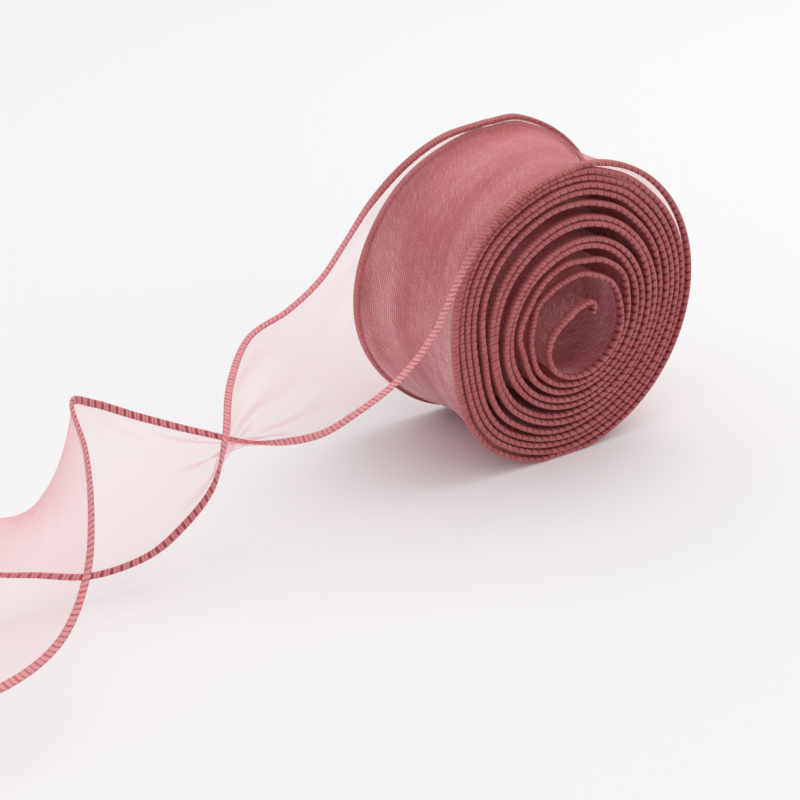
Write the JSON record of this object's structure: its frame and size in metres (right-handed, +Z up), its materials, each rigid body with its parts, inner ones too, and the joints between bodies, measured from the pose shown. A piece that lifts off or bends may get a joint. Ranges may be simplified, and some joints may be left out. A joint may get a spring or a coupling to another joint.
{
  "type": "ribbon roll",
  "caption": "Coreless roll of sheer wired-edge ribbon with overlocked edges, a curled free inner end and a twisted tail.",
  "frame": {"origin": "centre of the flat on the front edge's stitching where the roll rests", "axes": "+Z up; +Y along the roll's axis from its front edge to its rear edge; the tail runs towards -X"},
  "size_m": [0.2055, 0.0778, 0.0762],
  "materials": {
    "sheer_web": "sheer plain-weave organza with a satin sheen",
    "edge_wire": "fine soft wire, hidden in the edge",
    "edge_stitching": "glossy dyed thread wrapped slantwise"
  },
  "bodies": {
    "roll": {"outer_turns_web": "sheer_web", "outer_turns_front_wire": "edge_wire", "outer_turns_rear_wire": "edge_wire", "outer_turns_front_stitching": "edge_stitching", "outer_turns_rear_stitching": "edge_stitching"},
    "core": {"inner_turns_web": "sheer_web", "inner_turns_front_wire": "edge_wire", "inner_turns_rear_wire": "edge_wire", "inner_turns_front_stitching": "edge_stitching", "inner_turns_rear_stitching": "edge_stitching"},
    "inner_end": {"inner_end_web": "sheer_web", "inner_end_front_wire": "edge_wire", "inner_end_rear_wire": "edge_wire", "inner_end_front_stitching": "edge_stitching", "inner_end_rear_stitching": "edge_stitching"},
    "tail_start": {"tail_start_web": "sheer_web", "tail_start_front_wire": "edge_wire", "tail_start_rear_wire": "edge_wire", "tail_start_front_stitching": "edge_stitching", "tail_start_rear_stitching": "edge_stitching"},
    "tail_twist": {"tail_twist_web": "sheer_web", "tail_twist_front_wire": "edge_wire", "tail_twist_rear_wire": "edge_wire", "tail_twist_front_stitching": "edge_stitching", "tail_twist_rear_stitching": "edge_stitching"},
    "tail_end": {"tail_end_web": "sheer_web", "tail_end_front_wire": "edge_wire", "tail_end_rear_wire": "edge_wire", "tail_end_front_stitching": "edge_stitching", "tail_end_rear_stitching": "edge_stitching"}
  },
  "joints": [
    {"name": "core_slide", "type": "slide", "parent": "roll", "child": "core", "axis": [0, 1, 0], "range_m": [-0.012, 0.012]},
    {"name": "inner_end_curl", "type": "hinge", "parent": "core", "child": "inner_end", "pos_m": [-0.0022, 0.0189, 0.0224], "axis": [0, 1, 0], "range_deg": [-4, 20]},
    {"name": "tail_lift", "type": "hinge", "parent": "roll", "child": "tail_start", "pos_m": [0, 0.0189, 0.0761], "axis": [0, 1, 0], "range_deg": [0, 40]},
    {"name": "tail_twist_bend", "type": "hinge", "parent": "tail_start", "child": "tail_twist", "pos_m": [-0.072, 0.0055, 0.0385], "axis": [-0.1587, 0.9784, 0.1322], "range_deg": [-3, 30]},
    {"name": "tail_end_bend", "type": "hinge", "parent": "tail_twist", "child": "tail_end", "pos_m": [-0.1245, 0.0035, 0.024], "axis": [0.0262, 0.0787, -0.9966], "range_deg": [-25, 25]}
  ]
}
